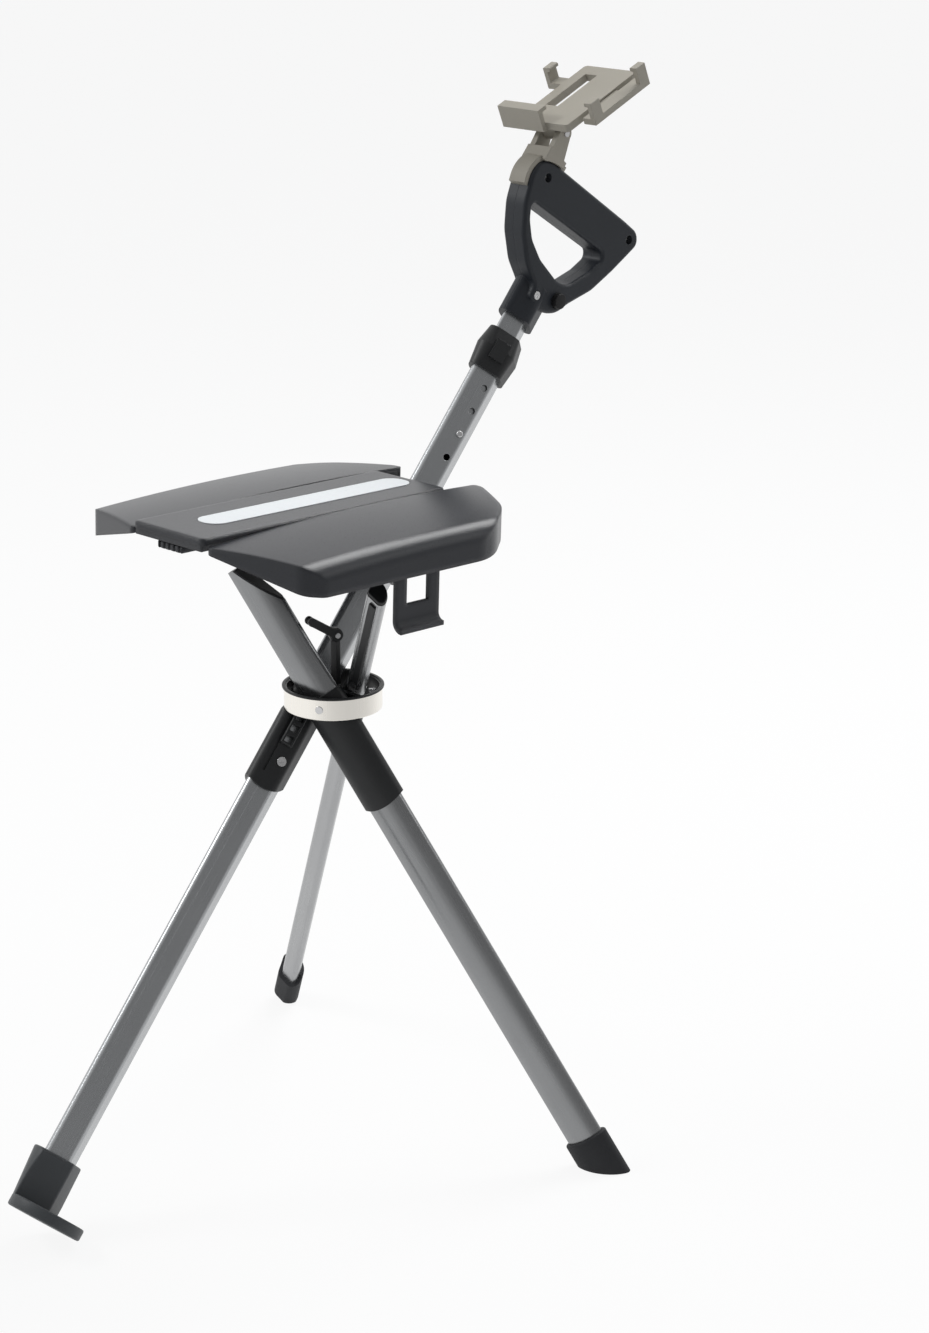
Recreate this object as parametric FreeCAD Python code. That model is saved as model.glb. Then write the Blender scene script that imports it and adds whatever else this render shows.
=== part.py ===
import FreeCAD, Part
import math
import os
from FreeCAD import Placement, Rotation, Vector

os.makedirs("parts", exist_ok=True)

# Driving dimensions, millimetres and degrees
hub_height = 350.0
front_tilt = 41.0
right_tilt = 31.4
left_tilt = 36.0

# Leg tubes: three-sided sections that close round the hub axis
front_apex = 8.4
front_radius = 20.8
right_apex = 7.6
right_radius = 18.6
left_apex = 8.3
left_radius = 15.2
tube_corner = 4.0
tube_wall = 1.6
front_tube_top = 304.0
right_top = 105.0
right_slant = 59.6
right_crest = 118.5
left_top = 120.0

# Hub
ring_radius = 36.5
ring_wall = 2.2
ring_low = -8.0
ring_high = 8.5
pin_radius = 3.0
pin_proud = 0.4
running_gap = 0.05
sleeve_wall = 2.6
sleeve_top = 7.0
sleeve_length = 87.5
sleeve_rim = 45.0
casing_length = 86.0
casing_rim = 26.0
casing_screw_along = 5.0
casing_screw_z = -62.0
clamp_length = 30.0
column_x = 3.0
column_top = 48.0
column_width = 4.0
link_length = 23.0
link_lean = 58.0
link_azimuth = 250.0

# Feet
ferrule_radius = 29.0
ferrule_offset = -4.0
ferrule_base = 9.0
ferrule_neck = 48.0
ferrule_wall = 4.0
foot_wall = 3.0
right_foot_length = 28.0
left_foot_length = 42.0
left_foot_lift = 4.0

# Height lock and collar
lock_height = 223.6
lock_along = 4.5
hole_pitch = 20.5
lock_radius = 2.6
slide_gap = 0.35
inner_wall = 1.4
collar_low = 277.0
collar_high = 311.0
inner_low = 166.0
handle_rise = 41.0
handle_fall = 12.0
inner_high = 346.0

# Handle, in the plane of the front leg
handle_x = -18.0
handle_half = 11.0
handle_round = 3.0
stem_low = 326.0
stem_high = 356.0
stem_wall = 2.6
handle_screw = 3.3
plug_radius = 6.0
plug_across = 16.5
plug_along = 357.0

# Seat, measured from its own pivot
seat_x = -10.5
seat_pitch = 1.84
pivot_y = 50.0
pivot_rise = 122.2
seat_rise = 25.4
panel_half = 37.0
panel_front = -199.0
panel_rear = 41.0
panel_skin = 4.0
panel_skirt = 9.5
strip_half = 12.5
strip_front = -166.0
strip_rear = 34.0
wing_gap = 1.0
wing_width = 81.0
wing_rear = 70.0
wing_wall = 3.2
across_radius = 500.0
along_radius = 2400.0
crest_y = -30.0
lip_inner = 10.0
lip_outer = 32.0
wing_round = 14.0
rod_drop = 11.0
rod_radius = 2.0
rod_gap = 0.05
ear_radius = 4.4
ear_half = 8.0
panel_ears = (-112.0, -44.0, 24.0)
panel_ribs = (-170.0, -130.0, -90.0, -66.0, -16.0)
wing_ears = (-90.0, -16.0)
wing_ribs = (-125.0, -66.0, -2.0)

# Latch loop under the right wing
latch_inset = 10.0
latch_y = -60.5
latch_half = 21.5
latch_window = 11.0
latch_arm = 25.0
latch_reach = 36.0
latch_curl = 7.0
latch_thick = 3.2
latch_pin_radius = 1.5

# Phone holder
cradle_across = 78.4
cradle_along = 454.8
cradle_slope = 22.8
cradle_thick = 6.0
cradle_half = 26.0
cradle_length = 84.0
phone_half = 38.0
phone_depth = 9.0
tilt_drop = 14.0
tilt_along = 10.0
tilt_pin_radius = 2.5
strap_half = 8.0
strap_wall = 4.0

front = (180.0, front_apex, front_radius)
right = (-60.0, right_apex, right_radius)
left = (60.0, left_apex, left_radius)


def polar(azimuth, distance, z=0.0):
    angle = math.radians(azimuth)
    return Vector(distance * math.cos(angle), distance * math.sin(angle), z)


def leg_pose(azimuth, tilt):
    return Placement(Vector(0, 0, hub_height), Rotation(polar(azimuth, 1.0), tilt))


front_pose = leg_pose(front[0], front_tilt)
right_pose = leg_pose(right[0], right_tilt)
left_pose = leg_pose(left[0], left_tilt)
seat_pivot = Vector(seat_x, pivot_y, hub_height + pivot_rise)
seat_pose = Placement(seat_pivot, Rotation(Vector(1, 0, 0), -seat_pitch))
cradle_turn = Rotation(Vector(1, 0, 0), front_tilt + cradle_slope)
cradle_pose = front_pose.multiply(Placement(Vector(handle_x, -cradle_across, cradle_along), cradle_turn))


def posed(shape, pose):
    moved = shape.copy()
    moved.Placement = pose.multiply(moved.Placement)
    return moved


def save(name, shape):
    shape.exportStep("parts/" + name + ".step")


def cylinder(radius, start, end):
    axis = end - start
    return Part.makeCylinder(radius, axis.Length, start, axis)


def block(low, high):
    size = high - low
    return Part.makeBox(size.x, size.y, size.z, low)


def fused(shapes):
    return shapes[0].multiFuse(shapes[1:]).removeSplitter()


def arc(start, middle, end):
    return Part.Arc(start, middle, end).toShape()


# Three-sided tube section with rounded corners, grown or shrunk evenly
def sector_wire(leg, grow, z):
    azimuth, apex, radius = leg
    half = math.radians(60.0)
    blend = tube_corner + grow
    spread = half - math.asin(tube_corner / (radius - tube_corner))
    flat_normal = math.radians(150.0)
    corner_middle = (flat_normal + spread) / 2.0

    def at(x, y):
        return Rotation(Vector(0, 0, 1), azimuth).multVec(Vector(x, y, z))

    def off(x, y, angle, distance, side):
        return at(x + distance * math.cos(angle), side * (y + distance * math.sin(angle)))

    root = apex + tube_corner / math.sin(half)
    tip_x = apex + (radius - tube_corner) * math.cos(spread)
    tip_y = (radius - tube_corner) * math.sin(spread)
    root_points = [off(root, 0.0, flat_normal, blend, side) for side in (1, -1)]
    flat_points = [off(tip_x, tip_y, flat_normal, blend, side) for side in (1, -1)]
    turn_points = [off(tip_x, tip_y, corner_middle, blend, side) for side in (1, -1)]
    rim_points = [off(apex, 0.0, spread, radius + grow, side) for side in (1, -1)]
    edges = [
        arc(root_points[1], at(root - blend, 0.0), root_points[0]),
        Part.makeLine(root_points[0], flat_points[0]),
        arc(flat_points[0], turn_points[0], rim_points[0]),
        arc(rim_points[0], at(apex + radius + grow, 0.0), rim_points[1]),
        arc(rim_points[1], turn_points[1], flat_points[1]),
        Part.makeLine(flat_points[1], root_points[1]),
    ]
    return Part.Wire(edges)


def sector(leg, grow, low, high):
    return Part.Face(sector_wire(leg, grow, low)).extrude(Vector(0, 0, high - low))


def sector_tube(leg, grow, wall, low, high):
    return sector(leg, grow, low, high).cut(sector(leg, grow - wall, low - 1.0, high + 1.0))


# Point on a leg's flat, counted from the apex along the flat and out from it
def on_flat(leg, side, along, out, z):
    azimuth, apex, radius = leg
    return polar(azimuth, apex, z) + polar(azimuth + side * 60.0, along) + polar(azimuth + side * 150.0, out)


def flat_block(leg, side, along, half_width, out, depth, low, high):
    corners = [
        on_flat(leg, side, along - half_width, out, low),
        on_flat(leg, side, along + half_width, out, low),
        on_flat(leg, side, along + half_width, out + depth, low),
        on_flat(leg, side, along - half_width, out + depth, low),
    ]
    return Part.Face(Part.makePolygon(corners + corners[:1])).extrude(Vector(0, 0, high - low))


def pin_bore(leg, reach):
    return cylinder(pin_radius + running_gap, polar(leg[0], leg[1] + 2.0), polar(leg[0], reach))


# Closed wire through points with a rounded turn at each one
def rounded_wire(points, radii):
    edges = []
    ends = []
    count = len(points)
    for i in range(count):
        before = points[i - 1] - points[i]
        after = points[(i + 1) % count] - points[i]
        turn = math.pi - before.getAngle(after)
        reach = min(radii[i] * math.tan(turn / 2.0), 0.46 * before.Length, 0.46 * after.Length)
        start = points[i] + Vector(before).normalize() * reach
        end = points[i] + Vector(after).normalize() * reach
        bend = reach / math.tan(turn / 2.0)
        inward = (Vector(before).normalize() + Vector(after).normalize()).normalize()
        middle = points[i] + inward * (bend / math.cos(turn / 2.0) - bend)
        ends.append((start, middle, end))
    for i in range(count):
        start, middle, end = ends[i]
        edges.append(arc(start, middle, end))
        following = ends[(i + 1) % count][0]
        if end.distanceToPoint(following) > 0.01:
            edges.append(Part.makeLine(end, following))
    return Part.Wire(edges)


# Hub
def hub_ring():
    outer = Part.makeCylinder(ring_radius, ring_high - ring_low, Vector(0, 0, ring_low))
    inner = Part.makeCylinder(ring_radius - ring_wall, ring_high - ring_low, Vector(0, 0, ring_low))
    ring = outer.cut(inner)
    rims = [edge for edge in ring.Edges if edge.Closed]
    ring = ring.makeFillet(0.6, rims)
    for leg in (front, right, left):
        ring = ring.cut(cylinder(pin_radius, Vector(0, 0, 0), polar(leg[0], 2.0 * ring_radius)))
    return ring


# Room the ring takes up, seen from a leg that is fully open
def ring_room(pose):
    height = ring_high - ring_low + 2.0
    outer = Part.makeCylinder(ring_radius + 10.0, height, Vector(0, 0, ring_low - 1.0))
    room = outer.cut(Part.makeCylinder(ring_radius - ring_wall - 0.5, height, Vector(0, 0, ring_low - 1.0)))
    return posed(room, Placement(Vector(0, 0, 0), pose.Rotation.inverted()))


def leg_pins():
    pins = []
    for leg in (front, right, left):
        pin = cylinder(pin_radius, polar(leg[0], leg[1] + 5.0), polar(leg[0], ring_radius + pin_proud))
        rim = [edge for edge in pin.Edges if edge.Closed and edge.CenterOfMass.Length > ring_radius]
        pins.append(pin.makeFillet(pin_proud, rim))
    return Part.makeCompound(pins)


def brace_column():
    half = column_width / 2.0
    arm = block(Vector(column_x - 3.0, -half, -1.0), Vector(ring_radius, half, 6.0))
    arm = arm.common(Part.makeCylinder(ring_radius - ring_wall, 40.0, Vector(0, 0, -20.0)))
    post = block(Vector(column_x - 3.0, -half, -3.0), Vector(column_x + 3.0, half, column_top - 5.0))
    eye = cylinder(5.0, link_pivot() - link_axis() * 2.0, link_pivot() + link_axis() * 2.0)
    bore = cylinder(2.0, link_pivot() - link_axis() * 9.0, link_pivot() + link_axis() * 9.0)
    return fused([arm, post, eye]).cut(bore)


def link_pivot():
    return Vector(column_x, 0, column_top)


# The brace link turns square to the upright plane it swings in
def link_axis():
    return polar(link_azimuth - 90.0, 1.0)


def brace_link():
    top = link_pivot()
    reach = Vector(0, 0, link_length)
    across = polar(link_azimuth, 3.0)
    cheeks = []
    for side in (1, -1):
        inner = top + link_axis() * (2.4 * side)
        outer = top + link_axis() * (4.0 * side)
        low_eye = cylinder(4.6, inner, outer)
        high_eye = cylinder(3.2, inner + reach, outer + reach)
        corners = [inner - across, inner + across, outer + across, outer - across]
        bar = Part.Face(Part.makePolygon(corners + corners[:1])).extrude(reach)
        cheeks.append(fused([low_eye, bar, high_eye]))
    tie = cylinder(2.6, top + reach - link_axis() * 3.0, top + reach + link_axis() * 3.0)
    bore = cylinder(2.0 + running_gap, top - link_axis() * 9.0, top + link_axis() * 9.0)
    link = fused(cheeks + [tie]).cut(bore)
    link.rotate(top, link_axis(), -link_lean)
    return link


def link_pin():
    return cylinder(2.0, link_pivot() - link_axis() * 5.2, link_pivot() + link_axis() * 5.2)


# Front leg, built upright with the hub at the origin
def front_length():
    reach = hub_height - ferrule_radius * math.sin(math.radians(front_tilt))
    return reach / math.cos(math.radians(front_tilt))


def front_leg_tube():
    tube = sector_tube(front, 0.0, tube_wall, -front_length() + ferrule_base, front_tube_top)
    tube = tube.cut(pin_bore(front, ring_radius)).cut(ring_room(front_pose))
    for step in (-1, 0, 1, 2):
        z = lock_height + step * hole_pitch
        inside = on_flat(front, 1, lock_along, -4.0, z)
        outside = on_flat(front, 1, lock_along, 4.0, z)
        tube = tube.cut(cylinder(lock_radius + running_gap, inside, outside))
    return tube


def front_leg_casing():
    low = -casing_length
    middle = low + casing_rim
    body = sector(front, sleeve_wall, middle, sleeve_top)
    skirt = sector(front, sleeve_wall, low, middle)
    rim = cylinder(casing_rim, on_flat(front, 1, 9.0, -60.0, middle), on_flat(front, 1, 9.0, 30.0, middle))
    casing = fused([body, skirt.common(rim)])
    lug = flat_block(front, 1, 9.0, 5.0, sleeve_wall, 4.0, -50.0, -22.0)
    lug = lug.makeFillet(1.2, lug.Edges)
    casing = casing.fuse(lug).removeSplitter()
    casing = casing.cut(sector(front, 0.0, low - 1.0, sleeve_top + 1.0))
    for row in range(3):
        window_low = -48.0 + row * 9.0
        casing = casing.cut(flat_block(front, 1, 9.0, 3.2, 0.0, 8.0, window_low, window_low + 5.5))
    slot = flat_block(front, 1, 14.5, 1.0, sleeve_wall - 1.2, 4.0, -74.0, -14.0)
    casing = casing.cut(slot).cut(screw_seat(4.0, 6.0)).cut(pin_bore(front, ring_radius))
    return casing.cut(ring_room(front_pose))


def screw_seat(radius, out):
    seat = on_flat(front, 1, casing_screw_along, sleeve_wall - 1.2, casing_screw_z)
    return cylinder(radius, seat, on_flat(front, 1, casing_screw_along, out, casing_screw_z))


def casing_screw():
    return screw_seat(3.7, sleeve_wall + 0.8)


# Cane ferrule: cup round the tube, its rim falling towards the hub axis, on a round tip
def front_ferrule():
    low = -front_length()
    base = Part.makeCylinder(ferrule_radius, ferrule_base, Vector(ferrule_offset, 0, low))
    rims = [edge for edge in base.Edges if edge.Closed]
    base = base.makeFillet(1.6, rims)
    cup = sector(front, ferrule_wall, low + 2.0, low + ferrule_neck)
    outer = front_apex + front_radius
    hill = ferrule_neck - 16.0
    rim = cylinder(hill, Vector(-outer, -60, low + 16.0), Vector(-outer, 60, low + 16.0))
    foot = sector(front, ferrule_wall, low + 2.0, low + 20.0)
    cup = fused([foot, cup.common(rim)])
    ferrule = fused([base, cup])
    return ferrule.cut(sector(front, 0.0, low + ferrule_base, 0.0))


# Faceted collar where the inner tube leaves the front tube
def tube_collar():
    step = (collar_high - collar_low) * 0.55
    waist = collar_low + step
    lower = Part.makeLoft([sector_wire(front, 3.0, collar_low), sector_wire(front, 5.2, waist)], True, True)
    upper = Part.makeLoft([sector_wire(front, 5.2, waist), sector_wire(front, 2.2, collar_high)], True, True)
    collar = fused([lower, upper])
    tab = flat_block(front, 1, 9.0, 6.0, 2.0, 4.6, collar_low + 9.0, collar_high - 9.0)
    collar = collar.fuse(tab).removeSplitter()
    collar = collar.cut(sector(front, 0.0, collar_low - 1.0, front_tube_top))
    return collar.cut(sector(front, -tube_wall, front_tube_top - 1.0, collar_high + 1.0))


def push_pin():
    root = on_flat(front, 1, lock_along, -1.6, lock_height)
    crown = on_flat(front, 1, lock_along, 1.8, lock_height)
    pin = cylinder(lock_radius, root, crown)
    rim = [edge for edge in pin.Edges if edge.Closed and edge.Curve.Center.distanceToPoint(crown) < 0.1]
    return pin.makeFillet(0.9, rim)


# Seat bracket clamped round the front tube
def bracket_pivot():
    return front_pose.inverse().multVec(seat_pivot)


def seat_bracket():
    pivot = bracket_pivot()
    saddle = sector(front, 2.2, pivot.z - 24.0, pivot.z + 14.0)
    cheeks = []
    for x in (-27.0, -12.5):
        eye = cylinder(6.0, Vector(x, pivot.y, pivot.z), Vector(x + 3.0, pivot.y, pivot.z))
        web = block(Vector(x, pivot.y, pivot.z - 6.0), Vector(x + 3.0, 0.0, pivot.z + 6.0))
        cheeks.append(fused([eye, web]))
    bracket = fused([saddle] + cheeks).cut(sector(front, 0.0, pivot.z - 60.0, pivot.z + 60.0))
    return bracket.cut(cylinder(pin_radius, Vector(-40, pivot.y, pivot.z), Vector(0, pivot.y, pivot.z)))


def seat_pin():
    pivot = bracket_pivot()
    return cylinder(pin_radius, Vector(-28.4, pivot.y, pivot.z), Vector(-8.1, pivot.y, pivot.z))


# Side legs
def side_tube(leg, low, top):
    tube = sector_tube(leg, 0.0, tube_wall, low, top)
    return tube.cut(pin_bore(leg, ring_radius))


# Everything above the slanted end that carries the seat
def above_slant(rise):
    box = block(Vector(-60, -60, 0), Vector(60, 60, 120))
    lean = Rotation(polar(right[0], 1.0), -right_slant)
    slanted = posed(box, Placement(Vector(0, 0, right_top + rise), lean))
    return slanted.fuse(block(Vector(-60, -60, right_crest), Vector(60, 60, right_crest + 90.0)))


def right_leg_tube():
    tall = side_tube(right, -axial_reach(right_tilt) + 14.0, right_top + 60.0)
    return tall.cut(above_slant(0.0))


def right_leg_cap():
    bar = sector(right, -tube_wall, right_top - 50.0, right_top + 60.0)
    plug = bar.cut(above_slant(-3.0)).common(above_slant(-14.0))
    lid = sector(right, -0.4, right_top - 50.0, right_crest).common(above_slant(0.0)).cut(above_slant(2.4))
    neck = bar.common(above_slant(-3.5)).cut(above_slant(0.5))
    return fused([plug, neck, lid])


def right_leg_sleeve():
    low = -sleeve_length
    middle = low + sleeve_rim
    body = sector(right, sleeve_wall, middle, sleeve_top)
    skirt = sector(right, sleeve_wall, low, middle)
    rim = cylinder(sleeve_rim, polar(right[0], -30.0, middle), polar(right[0], 60.0, middle))
    sleeve = fused([body, skirt.common(rim)])
    sleeve = sleeve.cut(sector(right, 0.0, low - 1.0, sleeve_top + 1.0))
    return sleeve.cut(pin_bore(right, ring_radius))


def left_leg_clamp():
    clamp = sector_tube(left, 2.4, 2.4, -clamp_length, sleeve_top)
    ear = flat_block(left, -1, 9.0, 4.0, 2.0, 3.6, -26.0, -10.0)
    clamp = clamp.fuse(ear.makeFillet(1.0, ear.Edges)).removeSplitter()
    clamp = clamp.cut(sector(left, 0.0, -clamp_length - 1.0, sleeve_top + 1.0))
    return clamp.cut(pin_bore(left, ring_radius))


def axial_reach(tilt):
    return hub_height / math.cos(math.radians(tilt))


def above_floor(shape, pose):
    floor = block(Vector(-600, -600, -100), Vector(600, 600, 0))
    return posed(shape, pose).cut(floor)


# Slip-on foot, cut flat by the floor
def right_foot():
    reach = axial_reach(right_tilt)
    body = sector(right, foot_wall, -reach - 26.0, -reach + right_foot_length)
    rim = [edge for edge in body.Edges if edge.BoundBox.ZMin > -reach + right_foot_length - 0.01]
    body = body.makeFillet(1.4, rim)
    body = body.cut(sector(right, 0.0, -reach + 14.0, 0.0))
    return above_floor(body, right_pose)


def left_foot():
    low = left_foot_lift - axial_reach(left_tilt)
    body = sector(left, foot_wall, low, low + left_foot_length)
    ends = [edge for edge in body.Edges if edge.BoundBox.ZMax < low + 0.01]
    body = body.makeFillet(5.6, ends)
    bite_z = low + left_foot_length + 6.0
    bite = cylinder(16.0, polar(left[0] - 60.0, -60.0, bite_z), polar(left[0] - 60.0, 60.0, bite_z))
    body = body.cut(bite)
    body = body.cut(sector(left, 0.0, low + 19.0, 0.0))
    return above_floor(body, left_pose)


def leg_cap(leg, top):
    plug = sector(leg, -tube_wall, top - 14.0, top)
    lid = sector(leg, -0.4, top, top + 3.0)
    lid = lid.makeFillet(1.2, [edge for edge in lid.Edges if edge.BoundBox.ZMin > top + 2.9])
    return fused([plug, lid])


def channel_strip():
    return flat_block(left, -1, 8.0, 3.0, 0.0, 1.4, 24.0, left_top - 4.0)


def leg_screw(leg, side, along, z):
    return cylinder(3.4, on_flat(leg, side, along, 0.0, z), on_flat(leg, side, along, 1.6, z))


# Seat, built level with its pivot at the origin and the top above it
def panel_outline():
    return [
        Vector(-panel_half, panel_front, 0),
        Vector(panel_half, panel_front, 0),
        Vector(panel_half, panel_rear, 0),
        Vector(-panel_half, panel_rear, 0),
    ]


def prism(points, radii, low, high):
    face = Part.Face(rounded_wire(points, radii))
    face.translate(Vector(0, 0, low))
    return face.extrude(Vector(0, 0, high - low))


# Outline of the panel's underside walls, inset from the plate
def pocket_points(inset):
    inner = panel_half - 7.0 - inset
    front_end = panel_front + 5.0 + inset
    rear_end = panel_rear - 5.0 - inset
    return [
        Vector(-inner, front_end, 0),
        Vector(inner, front_end, 0),
        Vector(inner, rear_end, 0),
        Vector(-inner, rear_end, 0),
    ]


def centre_panel():
    top = seat_rise
    plate = prism(panel_outline(), [4.0] * 4, top - 5.0, top)
    plate = plate.makeFillet(1.6, [edge for edge in plate.Edges if edge.BoundBox.ZMin > top - 0.01])
    skirt = prism(pocket_points(0.0), [4.0] * 4, top - panel_skirt, top - 4.0)
    front_bar = block(Vector(-panel_half + 2.0, panel_front + 1.0, top - panel_skirt),
                      Vector(panel_half - 2.0, panel_front + 9.0, top - 4.0))
    hollow = prism(pocket_points(3.4), [3.0] * 4, top - panel_skirt - 1.0, top - panel_skin - 1.0)
    panel = fused([plate, skirt, front_bar]).cut(hollow)
    rib_end = panel_half - 9.0
    ribs = [block(Vector(-rib_end, y - 1.2, top - panel_skirt + 1.0), Vector(rib_end, y + 1.2, top - 4.5))
            for y in panel_ribs]
    panel = fused([panel] + ribs + hinge_ears() + [seat_lug()])
    panel = panel.cut(prism(strip_points(0.3), [strip_half] * 4, top - 1.2, top + 1.0))
    pivot_bore = cylinder(pin_radius + running_gap, Vector(-40, 0, 0), Vector(40, 0, 0))
    return panel.cut(rod_bores(rod_radius)).cut(pivot_bore)


# Pivot lug between the bracket's cheeks
def seat_lug():
    lug_low = -23.6 - seat_x
    lug_high = -12.9 - seat_x
    eye = cylinder(5.4, Vector(lug_low, 0, 0), Vector(lug_high, 0, 0))
    web = block(Vector(lug_low, -5.4, 0), Vector(lug_high, 5.4, seat_rise - 4.5))
    return fused([eye, web])


def ear(side, y_low, y_high, radius):
    start = Vector(side * (panel_half + wing_gap / 2.0), y_low, seat_rise - rod_drop)
    return cylinder(radius, start, start + Vector(0, y_high - y_low, 0))


def hinge_ears():
    ears = []
    for side in (1, -1):
        for y in panel_ears:
            barrel = ear(side, y - ear_half, y + ear_half, ear_radius)
            web_x = sorted((side * (panel_half - 9.0), side * (panel_half - 0.6)))
            web = block(Vector(web_x[0], y - ear_half, seat_rise - rod_drop - 2.0),
                        Vector(web_x[1], y + ear_half, seat_rise - 4.5))
            ears.append(fused([barrel, web]))
    return ears


def rod_bores(radius):
    bores = [ear(side, panel_front, wing_rear + 5.0, radius) for side in (1, -1)]
    return fused(bores)


def hinge_rods():
    rods = [ear(side, panel_ears[0] - 10.0, panel_ears[-1] + 9.0, rod_radius) for side in (1, -1)]
    return Part.makeCompound(rods)


def strip_points(grow):
    half = strip_half + grow
    return [
        Vector(-half, strip_front - grow, 0),
        Vector(half, strip_front - grow, 0),
        Vector(half, strip_rear + grow, 0),
        Vector(-half, strip_rear + grow, 0),
    ]


def seat_strip():
    return prism(strip_points(0.0), [strip_half] * 4, seat_rise - 1.2, seat_rise + 0.3)


def seat_catch():
    low = seat_rise - panel_skirt
    body = block(Vector(-13.0, panel_front + 2.0, low - 6.0), Vector(13.0, panel_front + 22.0, low - 0.3))
    body = body.makeFillet(1.5, body.Edges)
    for row in range(5):
        x = -10.4 + row * 5.2
        groove = block(Vector(x - 1.2, panel_front - 2.0, low - 7.0), Vector(x + 1.2, panel_front + 4.0, low))
        body = body.cut(groove)
    return body


# Plan of the right wing: swept front edge, straight side and rounded rear corner
def wing_points():
    inner = panel_half + wing_gap
    outer = inner + wing_width
    return [
        Vector(inner, panel_front + 1.0, 0),
        Vector(outer - 7.0, panel_front + 26.0, 0),
        Vector(outer, panel_front + 40.0, 0),
        Vector(outer, wing_rear - 62.0, 0),
        Vector(outer - 24.0, wing_rear - 28.0, 0),
        Vector(inner + 8.0, wing_rear, 0),
        Vector(inner, wing_rear, 0),
    ]


def wing_turns(less):
    return [max(radius - less, 1.0) for radius in (4.0, 16.0, 16.0, 50.0, 60.0, 14.0, 3.0)]


def crown_height(x, y):
    across = across_radius - math.sqrt(across_radius ** 2 - (x - panel_half - wing_gap) ** 2)
    return seat_rise - along_radius + math.sqrt((along_radius - across) ** 2 - (y - crest_y) ** 2)


# Drooping top of the wing: an arc that rolls over into the side, swept along a larger arc from front to rear
def crown_solid(drop, depth):
    inner = panel_half + wing_gap
    bottom = seat_rise - depth
    middle = Vector(inner, crest_y, seat_rise - across_radius)
    lean = math.asin((wing_width - wing_round) / (across_radius - wing_round))

    def around(centre, radius, angle):
        return centre + Vector(radius * math.sin(angle), 0, radius * math.cos(angle))

    turn = around(middle, across_radius - wing_round, lean)
    roll = wing_round - drop
    start = around(middle, across_radius - drop, -0.02)
    over = around(turn, roll, lean)
    side = around(turn, roll, math.pi / 2.0)
    edges = [
        arc(start, around(middle, across_radius - drop, lean / 2.0), over),
        arc(over, around(turn, roll, (lean + math.pi / 2.0) / 2.0), side),
        Part.makeLine(side, Vector(side.x, crest_y, bottom)),
        Part.makeLine(Vector(side.x, crest_y, bottom), Vector(start.x, crest_y, bottom)),
        Part.makeLine(Vector(start.x, crest_y, bottom), start),
    ]
    profile = Part.Face(Part.Wire(edges))
    axis_point = Vector(0, crest_y, seat_rise - along_radius)
    ahead = math.degrees((crest_y - panel_front + 12.0) / along_radius)
    behind = math.degrees((wing_rear - crest_y + 12.0) / along_radius)
    profile.rotate(axis_point, Vector(1, 0, 0), ahead)
    return profile.revolve(axis_point, Vector(1, 0, 0), -ahead - behind)


def inset_points(points, inset):
    middle = Vector(0, 0, 0)
    for point in points:
        middle = middle + point * (1.0 / len(points))
    return [point + (middle - point).normalize() * inset for point in points]


# Everything under the wing's lower edge, which falls outwards
def lip_cut():
    inner = panel_half + wing_gap
    slope = (lip_outer - lip_inner) / wing_width
    near = inner - 30.0
    far = inner + wing_width + 20.0
    rear_y = wing_rear + 30.0
    corners = [
        Vector(near, rear_y, seat_rise - lip_inner + 30.0 * slope),
        Vector(far, rear_y, seat_rise - lip_inner - (far - inner) * slope),
        Vector(far, rear_y, seat_rise - 150.0),
        Vector(near, rear_y, seat_rise - 150.0),
    ]
    section = Part.Face(Part.makePolygon(corners + corners[:1]))
    return section.extrude(Vector(0, panel_front - rear_y - 30.0, 0))


def right_wing():
    plan = prism(wing_points(), wing_turns(0.0), seat_rise - 80.0, seat_rise + 10.0)
    shell = crown_solid(0.0, 100.0).common(plan)
    inside = prism(wing_cavity_points(), wing_turns(wing_wall), seat_rise - 90.0, seat_rise + 10.0)
    cavity = crown_solid(wing_wall, 110.0).common(inside)
    wing = shell.cut(cavity).cut(lip_cut())
    for y in panel_ears:
        wing = wing.cut(ear(1, y - ear_half - 0.6, y + ear_half + 0.6, ear_radius + 0.6))
    ears = []
    for y in wing_ears:
        barrel = ear(1, y - ear_half, y + ear_half, ear_radius)
        web = block(Vector(panel_half + 1.2, y - ear_half, seat_rise - rod_drop - 2.0),
                    Vector(panel_half + 9.0, y + ear_half, seat_rise - 2.5 - crown_fall(y)))
        ears.append(fused([barrel, web]))
    rib_end = panel_half + wing_width - 3.0
    ribs = [block(Vector(panel_half + 6.0, y - 1.2, seat_rise - 14.0), Vector(rib_end, y + 1.2, seat_rise))
            for y in wing_ribs]
    ribs = [rib.common(crown_solid(wing_wall - 0.5, 110.0)) for rib in ribs]
    wing = fused([wing] + ears + ribs)
    return wing.cut(ear(1, panel_front, wing_rear + 5.0, rod_radius + rod_gap))


def crown_fall(y):
    return seat_rise - crown_height(panel_half + 9.0, y)


def wing_cavity_points():
    points = inset_points(wing_points(), wing_wall)
    points[0] = Vector(panel_half - 6.0, points[0].y, 0)
    points[-1] = Vector(panel_half - 6.0, points[-1].y, 0)
    return points


def left_wing():
    return right_wing().mirror(Vector(0, 0, 0), Vector(1, 0, 0))


# Latch loop that hangs from the right wing's outer lip
def latch_axis_point():
    return Vector(panel_half + wing_gap + wing_width - latch_inset, 0, seat_rise - lip_outer + 3.0)


def latch_rod(radius, start, end):
    pivot = latch_axis_point()
    return cylinder(radius, Vector(pivot.x, start, pivot.z), Vector(pivot.x, end, pivot.z))


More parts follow.
